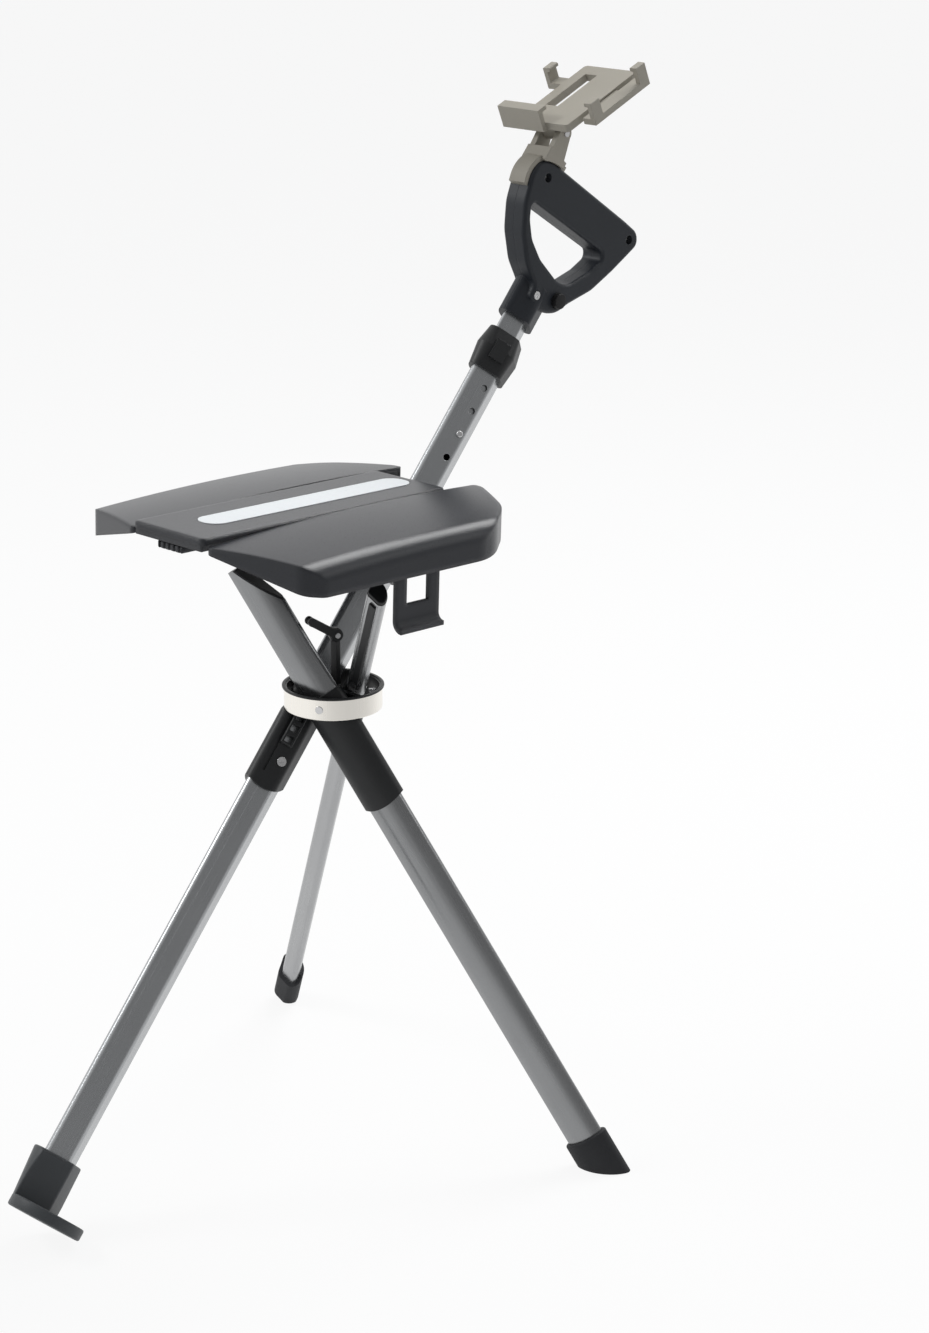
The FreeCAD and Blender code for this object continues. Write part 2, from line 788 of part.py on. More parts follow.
# Two arms, a lower bar and a lip that curls outwards
def latch_loop():
    pivot = latch_axis_point()
    half = latch_thick / 2.0
    low = latch_y - latch_half
    high = latch_y + latch_half
    back = pivot.x - half
    face = pivot.x + half
    shapes = []
    for start, end in ((low, latch_y - latch_window), (latch_y + latch_window, high)):
        shapes.append(latch_rod(3.4, start, end))
        shapes.append(block(Vector(back, start, pivot.z - latch_arm - 1.0), Vector(face, end, pivot.z)))
    shapes.append(block(Vector(back, low, pivot.z - latch_reach), Vector(face, high, pivot.z - latch_arm)))
    centre = Vector(pivot.x + latch_curl, low, pivot.z - latch_reach)
    depth = Vector(0, high - low, 0)
    ring = cylinder(latch_curl + half, centre, centre + depth)
    ring = ring.cut(cylinder(latch_curl - half, centre, centre + depth))
    quarter = block(centre - Vector(2.0 * latch_curl, 0, 2.0 * latch_curl), centre + depth)
    loop = fused(shapes + [ring.common(quarter)])
    return loop.cut(latch_rod(latch_pin_radius + rod_gap, low - 5.0, high + 5.0))


def latch_pin():
    return latch_rod(latch_pin_radius, latch_y - latch_half - 6.0, latch_y + latch_half + 6.0)


def latch_lugs():
    pivot = latch_axis_point()
    lugs = []
    for y in (latch_y - latch_half - 4.0, latch_y, latch_y + latch_half + 4.0):
        web = block(Vector(pivot.x - 3.2, y - 2.0, pivot.z),
                    Vector(pivot.x + latch_inset - 1.0, y + 2.0, pivot.z + 12.0))
        lugs.append(fused([latch_rod(3.2, y - 2.0, y + 2.0), web]))
    return fused(lugs).cut(latch_rod(latch_pin_radius, latch_y - 50.0, latch_y + 50.0))


# Telescoping stem and handle
def inner_tube():
    tube = sector_tube(front, -tube_wall - slide_gap, inner_wall, inner_low, inner_high)
    slot_low = lock_height - handle_rise - 5.0
    slot_high = lock_height + handle_fall + 5.0
    return tube.cut(flat_block(front, 1, lock_along, lock_radius + 1.5, -8.0, 9.0, slot_low, slot_high))


def handle_points(pairs, x):
    return [Vector(x, -across, along) for across, along in pairs]


# D outline: front arm, sloping grip and rear arm, drawn as across and along the stick
def handle_outer():
    return [
        (11.0, 342.0), (11.0, 353.0), (31.0, 361.0), (50.0, 376.0), (63.0, 394.0), (71.0, 417.0),
        (67.0, 430.0), (54.0, 435.0), (-42.0, 447.0), (-60.0, 448.5), (-67.0, 441.0), (-63.0, 429.0),
        (-56.0, 409.0), (-46.0, 385.0), (-30.0, 362.0), (-24.0, 350.0), (-12.0, 342.0),
    ]


def handle_opening():
    return [
        (57.0, 400.0), (49.0, 388.0), (37.0, 378.0), (19.0, 371.5), (-8.0, 369.0),
        (-20.0, 373.0), (-33.5, 394.0), (-39.5, 409.0), (-35.5, 414.0),
    ]


def handle_face(x):
    points = handle_points(handle_outer(), x)
    return Part.Face(rounded_wire(points, [30.0] * len(points)))


def handle_half_shell():
    points = handle_points(handle_opening(), handle_x)
    opening = Part.Face(rounded_wire(points, [20.0] * len(points)))
    half = handle_face(handle_x).cut(opening).extrude(Vector(handle_half, 0, 0))
    rims = [edge for edge in half.Edges if edge.BoundBox.XMin > handle_x + handle_half - 0.01]
    return half.makeFillet(handle_round, rims)


# Across, along and depth of each screw's recess
def screw_places():
    return [(54.4, 422.0, 6.0), (-54.9, 438.0, 6.0), (4.9, 348.0, 1.6)]


def handle_halves():
    near = handle_half_shell()
    far = near.mirror(Vector(handle_x, 0, 0), Vector(1, 0, 0))
    stem = sector(front, stem_wall, stem_low, stem_high)
    near_side = block(Vector(handle_x, -60, 0), Vector(handle_x + 60, 60, 500))
    tube = sector(front, -tube_wall - slide_gap, inner_low, inner_high)
    plug_low, plug_high = plug_ends()
    bore = cylinder(plug_radius, plug_low, plug_high + Vector(10, 0, 0))
    near = fused([near, stem.common(near_side)]).cut(tube).cut(bore)
    for across, along, depth in screw_places():
        seat = Vector(handle_x + handle_half - depth, -across, along)
        near = near.cut(cylinder(handle_screw + 0.3, seat, seat + Vector(depth + 5.0, 0, 0)))
    far = fused([far, stem.cut(near_side)]).cut(tube)
    return near, far


def plug_ends():
    low = Vector(handle_x + handle_half - 4.0, plug_across, plug_along)
    return low, low + Vector(4.6, 0, 0)


def handle_plug():
    low, high = plug_ends()
    return cylinder(plug_radius, low, high)


def handle_screws():
    screws = []
    for across, along, depth in screw_places():
        seat = Vector(handle_x + handle_half - depth, -across, along)
        screws.append(cylinder(handle_screw, seat, seat + Vector(1.8, 0, 0)))
    return Part.makeCompound(screws)


# Phone holder: clamp on the handle's upper corner, tilting cradle and sliding jaw
def tilt_point():
    return Vector(0, tilt_along, -tilt_drop)


# Strap that follows the handle's upper front corner, with two ears for the tilting cradle
def holder_clamp():
    body = handle_face(handle_x - strap_half)
    wrap = body.makeOffset2D(strap_wall).cut(body).extrude(Vector(2.0 * strap_half, 0, 0))
    strap = wrap.common(block(Vector(handle_x - 20.0, -90.0, 406.0), Vector(handle_x + 20.0, -40.0, 450.0)))
    handle = handle_face(handle_x - 40.0).extrude(Vector(80.0, 0, 0))
    saddle = block(Vector(handle_x - 12.0, -68.0, 430.0), Vector(handle_x + 12.0, -46.0, 441.0)).cut(handle)
    hinge = front_pose.inverse().multVec(cradle_pose.multVec(tilt_point()))
    ears = []
    for x in (-12.0, 7.0):
        start = Vector(handle_x + x, hinge.y, hinge.z)
        eye = cylinder(6.0, start, start + Vector(5.0, 0, 0))
        corners = [
            Vector(start.x, -66.0, 437.0),
            Vector(start.x, -48.0, 437.0),
            start + Vector(0, 6, 0),
            start + Vector(0, -6, 0),
        ]
        web = Part.Face(Part.makePolygon(corners + corners[:1])).extrude(Vector(5.0, 0, 0))
        ears.append(fused([eye, web]))
    clamp = fused([strap, saddle] + ears)
    return clamp.cut(cylinder(tilt_pin_radius, hinge - Vector(30, 0, 0), hinge + Vector(30, 0, 0)))


def holder_pin():
    hinge = cradle_pose.multVec(tilt_point())
    return cylinder(tilt_pin_radius, hinge - Vector(13.4, 0, 0), hinge + Vector(13.4, 0, 0))


def finger(side, y, x_foot):
    outer = side * (phone_half + 4.0)
    wall = sorted((side * phone_half, outer))
    foot = sorted((x_foot, outer))
    arm = block(Vector(foot[0], y - 5.0, -cradle_thick), Vector(foot[1], y + 5.0, -1.0))
    post = block(Vector(wall[0], y - 5.0, -cradle_thick), Vector(wall[1], y + 5.0, phone_depth + 3.0))
    hook_x = sorted((side * (phone_half - 3.0), outer))
    hook = block(Vector(hook_x[0], y - 5.0, phone_depth), Vector(hook_x[1], y + 5.0, phone_depth + 3.0))
    shape = fused([arm, post, hook])
    long_edges = [edge for edge in shape.Edges if abs(edge.tangentAt(edge.FirstParameter).y) > 0.9]
    return shape.makeFillet(0.9, long_edges)


def phone_cradle():
    plate = block(Vector(-cradle_half, 0, -cradle_thick), Vector(cradle_half, cradle_length, 0))
    upright = [edge for edge in plate.Edges if abs(edge.tangentAt(edge.FirstParameter).z) > 0.9]
    plate = plate.makeFillet(3.0, upright)
    lip = block(Vector(-phone_half, -4.0, -cradle_thick), Vector(4.0, 2.0, 0))
    lip_wall = block(Vector(-phone_half, -4.0, -cradle_thick), Vector(4.0, 0, phone_depth))
    lip_hook = block(Vector(-phone_half, -4.0, phone_depth), Vector(4.0, 5.0, phone_depth + 3.0))
    lug = cylinder(5.6, tilt_point() - Vector(6.6, 0, 0), tilt_point() + Vector(6.6, 0, 0))
    web = block(Vector(-6.6, tilt_along - 5.6, -tilt_drop),
                Vector(6.6, tilt_along + 5.6, -cradle_thick + 1.0))
    cradle = fused([plate, lip, lip_wall, lip_hook, lug, web, finger(-1, 60.0, -cradle_half + 2.0)])
    window = block(Vector(-16.0, 24.0, -cradle_thick - 1.0), Vector(-4.0, 72.0, 1.0))
    guide = block(Vector(1.0, 31.7, -4.6), Vector(cradle_half + 5.0, 58.3, -1.4))
    reach = Vector(30, 0, 0)
    bore = cylinder(tilt_pin_radius + running_gap, tilt_point() - reach, tilt_point() + reach)
    return cradle.cut(window).cut(guide).cut(bore)


def holder_jaw():
    tongue = block(Vector(6.0, 32.0, -4.3), Vector(phone_half + 2.0, 58.0, -1.7))
    rail = block(Vector(phone_half - 8.0, 14.0, -cradle_thick), Vector(phone_half + 4.0, 79.0, -1.0))
    return fused([tongue, rail, finger(1, 19.0, phone_half - 8.0), finger(1, 74.0, phone_half - 8.0)])


def main():
    hub = Placement(Vector(0, 0, hub_height), Rotation())
    save("hub_ring", posed(hub_ring(), hub))
    save("leg_pins", posed(leg_pins(), hub))
    save("brace_column", posed(brace_column(), hub))
    save("brace_link", posed(brace_link(), hub))
    save("brace_link_pin", posed(link_pin(), hub))

    save("front_leg_tube", posed(front_leg_tube(), front_pose))
    save("front_leg_casing", posed(front_leg_casing(), front_pose))
    save("casing_screw", posed(casing_screw(), front_pose))
    save("front_ferrule", posed(front_ferrule(), front_pose))
    save("tube_collar", posed(tube_collar(), front_pose))
    save("push_pin", posed(push_pin(), front_pose))
    save("seat_bracket", posed(seat_bracket(), front_pose))
    save("seat_pin", posed(seat_pin(), front_pose))

    save("right_leg_tube", posed(right_leg_tube(), right_pose))
    save("right_leg_sleeve", posed(right_leg_sleeve(), right_pose))
    save("right_foot", right_foot())
    save("right_leg_cap", posed(right_leg_cap(), right_pose))
    save("right_leg_screw", posed(leg_screw(right, -1, 9.0, right_top - 40.0), right_pose))

    save("left_leg_tube", posed(side_tube(left, -axial_reach(left_tilt) + 23.0, left_top), left_pose))
    save("left_leg_clamp", posed(left_leg_clamp(), left_pose))
    save("left_foot", left_foot())
    save("left_leg_cap", posed(leg_cap(left, left_top), left_pose))
    save("left_leg_strip", posed(channel_strip(), left_pose))

    save("seat_centre_panel", posed(centre_panel(), seat_pose))
    save("seat_strip", posed(seat_strip(), seat_pose))
    save("seat_catch", posed(seat_catch(), seat_pose))
    save("seat_hinge_rods", posed(hinge_rods(), seat_pose))
    save("seat_right_wing", posed(right_wing().fuse(latch_lugs()).removeSplitter(), seat_pose))
    save("seat_left_wing", posed(left_wing(), seat_pose))
    save("latch_loop", posed(latch_loop(), seat_pose))
    save("latch_pin", posed(latch_pin(), seat_pose))

    near_half, far_half = handle_halves()
    save("inner_tube", posed(inner_tube(), front_pose))
    save("handle_near_half", posed(near_half, front_pose))
    save("handle_far_half", posed(far_half, front_pose))
    save("handle_screws", posed(handle_screws(), front_pose))
    save("handle_plug", posed(handle_plug(), front_pose))

    save("phone_holder_clamp", posed(holder_clamp(), front_pose))
    save("phone_holder_pin", holder_pin())
    save("phone_holder_cradle", posed(phone_cradle(), cradle_pose))
    save("phone_holder_jaw", posed(holder_jaw(), cradle_pose))


main()
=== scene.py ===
import bmesh
import bpy
import math
from mathutils import Matrix, Vector


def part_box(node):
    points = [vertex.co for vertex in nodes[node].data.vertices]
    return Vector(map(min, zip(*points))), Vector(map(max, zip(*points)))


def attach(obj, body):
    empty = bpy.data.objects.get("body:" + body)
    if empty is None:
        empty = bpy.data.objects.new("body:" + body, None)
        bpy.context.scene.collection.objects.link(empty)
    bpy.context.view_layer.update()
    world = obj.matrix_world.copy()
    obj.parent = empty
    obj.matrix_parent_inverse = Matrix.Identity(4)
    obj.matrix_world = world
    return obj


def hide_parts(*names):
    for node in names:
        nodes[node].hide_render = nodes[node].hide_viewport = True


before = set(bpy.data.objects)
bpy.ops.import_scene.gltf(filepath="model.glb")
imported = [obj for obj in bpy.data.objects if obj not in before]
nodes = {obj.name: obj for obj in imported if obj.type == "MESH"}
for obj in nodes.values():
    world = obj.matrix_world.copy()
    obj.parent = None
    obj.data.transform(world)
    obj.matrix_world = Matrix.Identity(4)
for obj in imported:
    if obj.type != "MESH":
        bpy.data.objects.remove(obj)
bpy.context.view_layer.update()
scene = bpy.context.scene

# Photograph's frame and the camera worked out from the three feet and the ring
frame_width = 929
frame_height = 1333
focal_pixels = 3291.9
camera_azimuth = 46.59
camera_elevation = 18.27
camera_distance = 2.437
camera_roll = -0.59
hub_point = Vector((0.0, 0.0, 0.350))
hub_pixel = (333.18, 695.21)

# Lean of each leg away from upright, degrees, about the axis it swings on
front_lean = (41.0, (-1.0, 0.0, 0.0))
right_lean = (31.4, (0.5, -0.866025, 0.0))
left_lean = (36.0, (0.5, 0.866025, 0.0))

# Middle of each tube's hollow, across the leg from the hub axis
front_hollow = (-0.0195, 0.0)
right_hollow = (0.0088, -0.0153)
left_hollow = (0.0082, 0.0142)

# Steel ring round the hub, its black inner coat and the black flange on its upper edge
ring_outer = 0.0365
ring_coat = 0.0004
flange_outer = 0.0379
flange_inner = 0.0352
flange_low = 0.3577
flange_high = 0.3593
flange_round = 0.0004

# Rubber ferrule, measured on the upright front leg from the hub
ferrule_low = -0.4385
ferrule_radius = 0.029
ferrule_offset = -0.004
tip_height = 0.009
tip_round = 0.0016
cup_base = 0.003
cup_inset = 0.0006
cup_height = 0.044
cup_top_radius = 0.0225
cup_lean = -0.0135
cup_apex = -0.0084
cup_wall = 0.004
cup_flats = (30.0, -30.0)
cup_weld = 0.0008
cup_round = 0.0032

# Knob in the handle's lower corner
knob_length = 0.0085
knob_dish = 0.0012
knob_round = 0.0006

# Screw heads: radius and height, and the places of those on the handle
casing_head = (0.0036, 0.0018)
right_leg_head = (0.0033, 0.0015)
handle_head = (0.0032, 0.0018)
handle_head_places = [
    (-0.0121, 0.0544, 0.4220),
    (-0.0121, -0.0549, 0.4380),
    (-0.0077, 0.0049, 0.3480),
]

# Studio: place, width and power of each lamp, and the levels of world and floor
studio_middle = (0.0, 0.05, 0.42)
lamps = {
    "key_light": ((-1.4, -1.35, 2.0), 1.0, 20.0),
    "side_light": ((1.6, 1.4, 1.4), 1.0, 4.0),
    "back_light": ((-0.15, 1.5, 2.1), 1.3, 34.0),
}
lamp_shape = 0.7
world_level = 0.34
floor_size = 14.0
floor_drop = 0.0005
floor_glow = 0.90

# Where the mirrored backdrop starts to dim along X, where it is dimmest, and how dim
world_fall = (-0.3, 0.75, 0.32)
floor_fall = (0.0, 1.2, 0.60)

# Values that several finishes share
tube_metal = 0.85
tube_line_scale = 900.0
tube_edge = 0.0006
steel_line_scale = 700.0
steel_edge = 0.0003
line_depth = 0.0002
grain_depth = 0.0003
hollow_limit = 0.0005
rubbed_tube = (0.62, 0.62, 0.63)
hollow_painted_shade = (0.006, 0.006, 0.007)
coat_black = (0.012, 0.012, 0.013)

# Values that several pieces share
smooth_angle = math.radians(35.0)
facing_share = 0.9
upward = (0.0, 0.0, 1.0)


# Math node whose inputs are plain numbers or other nodes' outputs
def math_node(tree, operation, first, second):
    node = tree.nodes.new("ShaderNodeMath")
    node.operation = operation
    for index, value in enumerate((first, second)):
        if isinstance(value, (int, float)):
            node.inputs[index].default_value = value
        else:
            tree.links.new(value, node.inputs[index])
    return node.outputs[0]


# Camera and studio

def place_camera():
    data = bpy.data.cameras.new("photo_camera")
    camera = bpy.data.objects.new("photo_camera", data)
    scene.collection.objects.link(camera)
    azimuth = math.radians(camera_azimuth)
    elevation = math.radians(camera_elevation)
    back = Vector((
        math.sin(azimuth) * math.cos(elevation),
        -math.cos(azimuth) * math.cos(elevation),
        math.sin(elevation),
    ))
    camera.location = hub_point + back * camera_distance
    aim = (-back).to_track_quat("-Z", "Y").to_matrix().to_4x4()
    roll = Matrix.Rotation(math.radians(camera_roll), 4, "Z")
    camera.rotation_euler = (aim @ roll).to_euler()
    data.sensor_fit = "VERTICAL"
    data.sensor_width = 36.0
    data.sensor_height = 36.0
    data.lens = focal_pixels / frame_height * data.sensor_height
    data.shift_x = (frame_width / 2.0 - hub_pixel[0]) / frame_height
    data.shift_y = (hub_pixel[1] - frame_height / 2.0) / frame_height
    data.clip_start = 0.05
    data.clip_end = 50.0
    scene.camera = camera


def area_light(name, place, target, width, power):
    data = bpy.data.lights.new(name, "AREA")
    data.shape = "RECTANGLE"
    data.size = width
    data.size_y = width * lamp_shape
    data.energy = power
    light = bpy.data.objects.new(name, data)
    scene.collection.objects.link(light)
    light.location = place
    light.rotation_euler = (Vector(target) - Vector(place)).to_track_quat("-Z", "Y").to_euler()


# 1 for what the camera sees, straight, through glass or mirrored in metal
def seen_directly(tree):
    path = tree.nodes.new("ShaderNodeLightPath")
    straight = path.outputs["Is Camera Ray"]
    seen = math_node(tree, "MAXIMUM", straight, path.outputs["Is Transmission Ray"])
    return math_node(tree, "MAXIMUM", seen, path.outputs["Is Glossy Ray"])


# White to the camera; what metal mirrors falls off along X towards the studio's open right side
def backdrop_strength(tree, coordinate, fall_off):
    bright_end, dim_end, dim = fall_off
    coords = tree.nodes.new("ShaderNodeTexCoord")
    parts = tree.nodes.new("ShaderNodeSeparateXYZ")
    tree.links.new(coords.outputs[coordinate], parts.inputs[0])
    fall = tree.nodes.new("ShaderNodeMapRange")
    fall.inputs["From Min"].default_value = bright_end
    fall.inputs["From Max"].default_value = dim_end
    fall.inputs["To Min"].default_value = 1.0
    fall.inputs["To Max"].default_value = dim
    tree.links.new(parts.outputs["X"], fall.inputs["Value"])
    path = tree.nodes.new("ShaderNodeLightPath")
    return math_node(tree, "MAXIMUM", fall.outputs[0], path.outputs["Is Camera Ray"])


def light_studio():
    world = bpy.data.worlds.new("studio")
    scene.world = world
    world.use_nodes = True
    tree = world.node_tree
    background = tree.nodes["Background"]
    background.inputs["Color"].default_value = (0.80, 0.82, 0.86, 1.0)
    background.inputs["Strength"].default_value = world_level
    white = tree.nodes.new("ShaderNodeBackground")
    white.inputs["Color"].default_value = (1.0, 1.0, 1.0, 1.0)
    tree.links.new(backdrop_strength(tree, "Generated", world_fall), white.inputs["Strength"])
    mix = tree.nodes.new("ShaderNodeMixShader")
    tree.links.new(seen_directly(tree), mix.inputs["Fac"])
    tree.links.new(background.outputs[0], mix.inputs[1])
    tree.links.new(white.outputs[0], mix.inputs[2])
    tree.links.new(mix.outputs[0], tree.nodes["World Output"].inputs["Surface"])
    for name, (place, width, power) in lamps.items():
        area_light(name, place, studio_middle, width, power)


def lay_floor():
    bpy.ops.object.select_all(action="DESELECT")
    bpy.ops.mesh.primitive_plane_add(size=floor_size, location=(0.0, 0.0, -floor_drop))
    floor = bpy.context.object
    floor.name = "studio_floor"
    material = bpy.data.materials.new("studio_floor")
    material.use_nodes = True
    tree = material.node_tree
    surface = tree.nodes["Principled BSDF"]
    surface.inputs["Base Color"].default_value = (0.93, 0.93, 0.93, 1.0)
    surface.inputs["Roughness"].default_value = 0.9
    glow = tree.nodes.new("ShaderNodeEmission")
    glow.inputs["Color"].default_value = (1.0, 1.0, 1.0, 1.0)
    tree.links.new(backdrop_strength(tree, "Object", floor_fall), glow.inputs["Strength"])
    mix = tree.nodes.new("ShaderNodeMixShader")
    tree.links.new(math_node(tree, "MULTIPLY", seen_directly(tree), floor_glow), mix.inputs["Fac"])
    tree.links.new(surface.outputs[0], mix.inputs[1])
    tree.links.new(glow.outputs[0], mix.inputs[2])
    tree.links.new(mix.outputs[0], tree.nodes["Material Output"].inputs["Surface"])
    floor.data.materials.append(material)


# Shared surface effects

def effect_group(name, inputs, outputs):
    group = bpy.data.node_groups.new(name, "ShaderNodeTree")
    for label, kind, value in inputs:
        socket = group.interface.new_socket(label, in_out="INPUT", socket_type=kind)
        if value is not None:
            socket.default_value = value
    for label, kind in outputs:
        group.interface.new_socket(label, in_out="OUTPUT", socket_type=kind)
    start = group.nodes.new("NodeGroupInput")
    end = group.nodes.new("NodeGroupOutput")
    return group, start, end


def noise_node(tree, vector, scale, detail):
    node = tree.nodes.new("ShaderNodeTexNoise")
    node.inputs["Detail"].default_value = detail
    if isinstance(scale, (int, float)):
        node.inputs["Scale"].default_value = scale
    else:
        tree.links.new(scale, node.inputs["Scale"])
    tree.links.new(vector, node.inputs["Vector"])
    return node.outputs["Fac"]


# Fine spark-eroded grain of a moulding, with broad slow shading
def moulded_grain():
    group, start, end = effect_group(
        "moulded_grain",
        [("Vector", "NodeSocketVector", None), ("Grain Scale", "NodeSocketFloat", 1800.0),
         ("Cloud Scale", "NodeSocketFloat", 14.0)],
        [("Height", "NodeSocketFloat"), ("Cloud", "NodeSocketFloat")],
    )
    vector = start.outputs["Vector"]
    fine = noise_node(group, vector, start.outputs["Grain Scale"], 3.0)
    broad = noise_node(group, vector, start.outputs["Cloud Scale"], 2.0)
    group.links.new(fine, end.inputs["Height"])
    group.links.new(broad, end.inputs["Cloud"])
    return group


# Lines that drawing leaves along a tube; the tube runs along Z of the vector
def drawn_lines():
    group, start, end = effect_group(
        "drawn_lines",
        [("Vector", "NodeSocketVector", None), ("Line Scale", "NodeSocketFloat", 900.0)],
        [("Lines", "NodeSocketFloat"), ("Cloud", "NodeSocketFloat")],
    )
    stretch = group.nodes.new("ShaderNodeVectorMath")
    stretch.operation = "MULTIPLY"
    stretch.inputs[1].default_value = (1.0, 1.0, 0.012)
    group.links.new(start.outputs["Vector"], stretch.inputs[0])
    lines = noise_node(group, stretch.outputs[0], start.outputs["Line Scale"], 4.0)
    broad = noise_node(group, start.outputs["Vector"], 22.0, 3.0)
    group.links.new(lines, end.inputs["Lines"])
    group.links.new(broad, end.inputs["Cloud"])
    return group


# Lightly rubbed edges and a painted rim highlight: where a rounded normal leaves the true one,
# broken up by noise
def edge_wear_and_rim_highlight():
    group, start, end = effect_group(
        "edge_wear_and_rim_highlight",
        [("Vector", "NodeSocketVector", None), ("Width", "NodeSocketFloat", 0.0008),
         ("Amount", "NodeSocketFloat", 0.5)],
        [("Mask", "NodeSocketFloat")],
    )
    bevel = group.nodes.new("ShaderNodeBevel")
    bevel.samples = 4
    group.links.new(start.outputs["Width"], bevel.inputs["Radius"])
    geometry = group.nodes.new("ShaderNodeNewGeometry")
    dot = group.nodes.new("ShaderNodeVectorMath")
    dot.operation = "DOT_PRODUCT"
    group.links.new(bevel.outputs["Normal"], dot.inputs[0])
    group.links.new(geometry.outputs["True Normal"], dot.inputs[1])
    bend = math_node(group, "SUBTRACT", 1.0, dot.outputs["Value"])
    spots = noise_node(group, start.outputs["Vector"], 160.0, 4.0)
    wear_and_highlight = math_node(group, "MULTIPLY", math_node(group, "MULTIPLY", bend, 3.0), spots)
    amount = math_node(group, "MULTIPLY", wear_and_highlight, start.outputs["Amount"])
    limit = group.nodes.new("ShaderNodeClamp")
    group.links.new(amount, limit.inputs["Value"])
    group.links.new(limit.outputs[0], end.inputs["Mask"])
    return group


grain_effect = moulded_grain()
line_effect = drawn_lines()
edge_effect = edge_wear_and_rim_highlight()


# Finishes

def new_finish(name):
    material = bpy.data.materials.new(name)
    material.use_nodes = True
    tree = material.node_tree
    shader = tree.nodes["Principled BSDF"]
    coords = tree.nodes.new("ShaderNodeTexCoord")
    return material, tree, shader, coords.outputs["Object"]


def place_effect(tree, effect, vector, **values):
    node = tree.nodes.new("ShaderNodeGroup")
    node.node_tree = effect
    tree.links.new(vector, node.inputs["Vector"])
    for label, value in values.items():
        node.inputs[label.replace("_", " ")].default_value = value
    return node


def two_tone(tree, mask, dark, light):
    mix = tree.nodes.new("ShaderNodeMix")
    mix.data_type = "RGBA"
    mix.inputs["A"].default_value = (*dark, 1.0)
    mix.inputs["B"].default_value = (*light, 1.0)
    tree.links.new(mask, mix.inputs["Factor"])
    return mix.outputs["Result"]


def over_colour(tree, mask, colour, top):
    mix = tree.nodes.new("ShaderNodeMix")
    mix.data_type = "RGBA"
    tree.links.new(colour, mix.inputs["A"])
    mix.inputs["B"].default_value = (*top, 1.0)
    tree.links.new(mask, mix.inputs["Factor"])
    return mix.outputs["Result"]


def between(tree, value, low, high):
    spread = tree.nodes.new("ShaderNodeMapRange")
    spread.inputs["To Min"].default_value = low
    spread.inputs["To Max"].default_value = high
    tree.links.new(value, spread.inputs["Value"])
    return spread.outputs[0]


# Bump over a normal that rounds sharp edges by a small radius
def soft_surface(tree, shader, height, strength, depth, edge_radius):
    bevel = tree.nodes.new("ShaderNodeBevel")
    bevel.samples = 4
    bevel.inputs["Radius"].default_value = edge_radius
    bump = tree.nodes.new("ShaderNodeBump")
    bump.inputs["Strength"].default_value = strength
    bump.inputs["Distance"].default_value = depth
    tree.links.new(height, bump.inputs["Height"])
    tree.links.new(bevel.outputs["Normal"], bump.inputs["Normal"])
    tree.links.new(bump.outputs["Normal"], shader.inputs["Normal"])


def moulded_plastic(name, dark, light, wear_and_highlight, roughness, grain_scale, strength, edge_radius,
                    gloss=0.35):
    material, tree, shader, vector = new_finish(name)
    shader.inputs["Specular IOR Level"].default_value = gloss
    grain = place_effect(tree, grain_effect, vector, Grain_Scale=grain_scale)
    edges = place_effect(tree, edge_effect, vector, Width=edge_radius, Amount=0.5)
    colour = two_tone(tree, grain.outputs["Cloud"], dark, light)
    colour = over_colour(tree, edges.outputs["Mask"], colour, wear_and_highlight)
    tree.links.new(colour, shader.inputs["Base Color"])
    rough = between(tree, grain.outputs["Height"], roughness[0], roughness[1])
    tree.links.new(rough, shader.inputs["Roughness"])
    soft_surface(tree, shader, grain.outputs["Height"], strength, grain_depth, edge_radius)
    return material


# Turns a leg upright about the hub, so that the tube runs along Z
def upright_mapping(tree, vector, lean, kind):
    angle, axis = lean
    turn = Matrix.Rotation(-math.radians(angle), 4, Vector(axis))
    upright = tree.nodes.new("ShaderNodeMapping")
    upright.vector_type = kind
    upright.inputs["Rotation"].default_value = turn.to_euler()
    if kind == "POINT":
        upright.inputs["Location"].default_value = -(turn @ hub_point)
    tree.links.new(vector, upright.inputs["Vector"])
    return upright.outputs[0]


# 1 on the walls that face the middle of the hollow, 0 on the outside; the tube paints shade there
def inside_mask(tree, place, facing, hollow):
    offset = tree.nodes.new("ShaderNodeVectorMath")
    offset.operation = "SUBTRACT"
    offset.inputs[1].default_value = (hollow[0], hollow[1], 0.0)
    tree.links.new(place, offset.inputs[0])
    flat = tree.nodes.new("ShaderNodeVectorMath")
    flat.operation = "MULTIPLY"
    flat.inputs[1].default_value = (1.0, 1.0, 0.0)
    tree.links.new(offset.outputs[0], flat.inputs[0])
    dot = tree.nodes.new("ShaderNodeVectorMath")
    dot.operation = "DOT_PRODUCT"
    tree.links.new(flat.outputs[0], dot.inputs[0])
    tree.links.new(facing, dot.inputs[1])
    return math_node(tree, "LESS_THAN", dot.outputs["Value"], hollow_limit)


